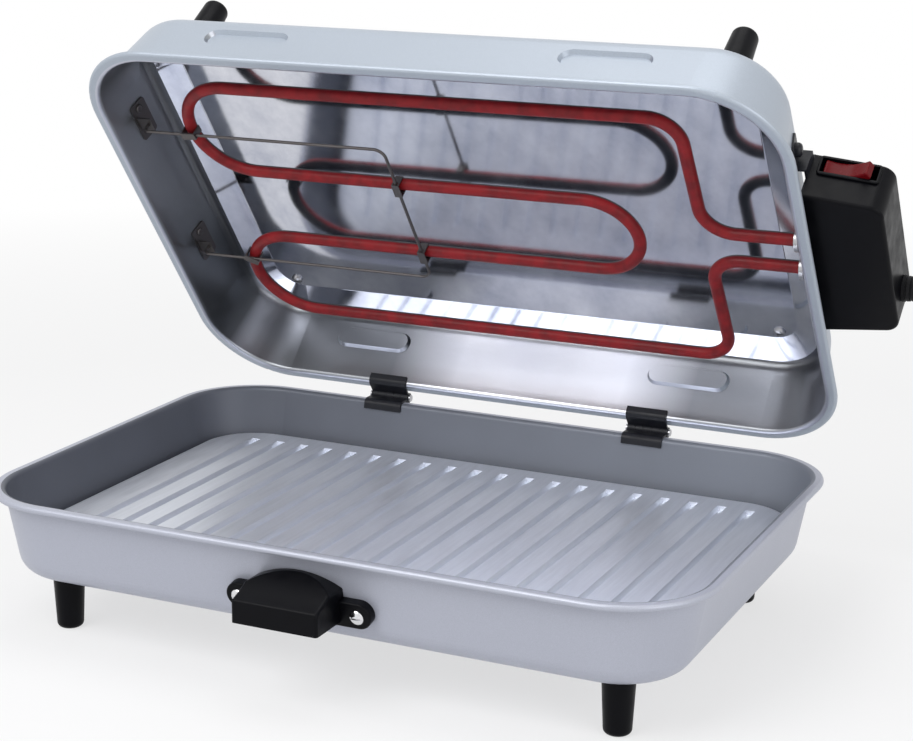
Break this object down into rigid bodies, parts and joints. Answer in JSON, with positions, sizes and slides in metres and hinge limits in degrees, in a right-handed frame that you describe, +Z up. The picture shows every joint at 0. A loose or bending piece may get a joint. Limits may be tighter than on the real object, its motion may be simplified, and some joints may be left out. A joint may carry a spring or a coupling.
{
  "type": "electric indoor grill",
  "caption": "hinged electric grill with a pressed pan and lid, ribbed plate, bent tube heating element, side control box and rocker switch",
  "frame": {"origin": "on the table plane, under the middle of the pan", "axes": "+X to the right seen from the front, +Y to the rear, +Z up"},
  "size_m": [0.5124, 0.3834, 0.3677],
  "materials": {
    "shell_coat": "satin silver-grey enamel, fine texture",
    "pan_coat": "satin silver-grey enamel outside, darker inside",
    "plate_metal": "satin pressed sheet",
    "liner_metal": "polished, faintly brushed",
    "element_coat": "matt oxide red sheath",
    "phenolic": "moulded black phenolic, slight sheen",
    "black_steel": "black coated steel",
    "zinc_steel": "bright zinc plate",
    "bright_chrome": "bright",
    "rivet_aluminium": "plain",
    "dark_wire": "heat-darkened wire",
    "ceramic": null,
    "rocker_red": "red moulding",
    "gland_rubber": "black rubber"
  },
  "bodies": {
    "base": {"base_pan": "pan_coat", "front_pull": "phenolic", "grill_plate": "plate_metal", "hinge_leaf_base_left": "black_steel", "hinge_leaf_base_right": "black_steel", "hinge_pin_left": "zinc_steel", "hinge_pin_right": "zinc_steel", "pan_foot_front_left": "phenolic", "pan_foot_front_right": "phenolic", "pan_foot_rear_left": "phenolic", "pan_foot_rear_right": "phenolic", "pan_foot_screws": "zinc_steel", "pull_nuts": "zinc_steel", "pull_screws": "bright_chrome"},
    "lid": {"block_screws": "zinc_steel", "box_back_plate": "black_steel", "box_screws": "zinc_steel", "bracket_rivets": "rivet_aluminium", "bush_nuts": "zinc_steel", "cap_nuts": "black_steel", "control_box": "phenolic", "cord_gland": "gland_rubber", "ear_bolts": "zinc_steel", "element_bushes": "zinc_steel", "heating_element": "element_coat", "hinge_leaf_lid_left": "black_steel", "hinge_leaf_lid_right": "black_steel", "lid_foot_front_left": "phenolic", "lid_foot_front_right": "phenolic", "lid_foot_rear_left": "phenolic", "lid_foot_rear_right": "phenolic", "lid_foot_screws": "zinc_steel", "lid_shell": "shell_coat", "reflector": "liner_metal", "support_wire": "dark_wire", "switch_body": "phenolic", "terminal_beads": "ceramic", "terminal_block": "ceramic", "terminal_pins": "zinc_steel", "wire_brackets": "zinc_steel", "wire_clips": "zinc_steel"},
    "rocker": {"rocker": "rocker_red"}
  },
  "joints": [
    {"name": "lid_hinge", "type": "hinge", "parent": "base", "child": "lid", "pos_m": [0, 0.1603, 0.0903], "axis": [-1, 0, 0], "range_deg": [-52.7, 120]},
    {"name": "rocker_tilt", "type": "hinge", "parent": "lid", "child": "rocker", "pos_m": [0.24643, 0.05907, 0.28639], "axis": [0, 0.7955, 0.606], "range_deg": [0, 24]}
  ]
}
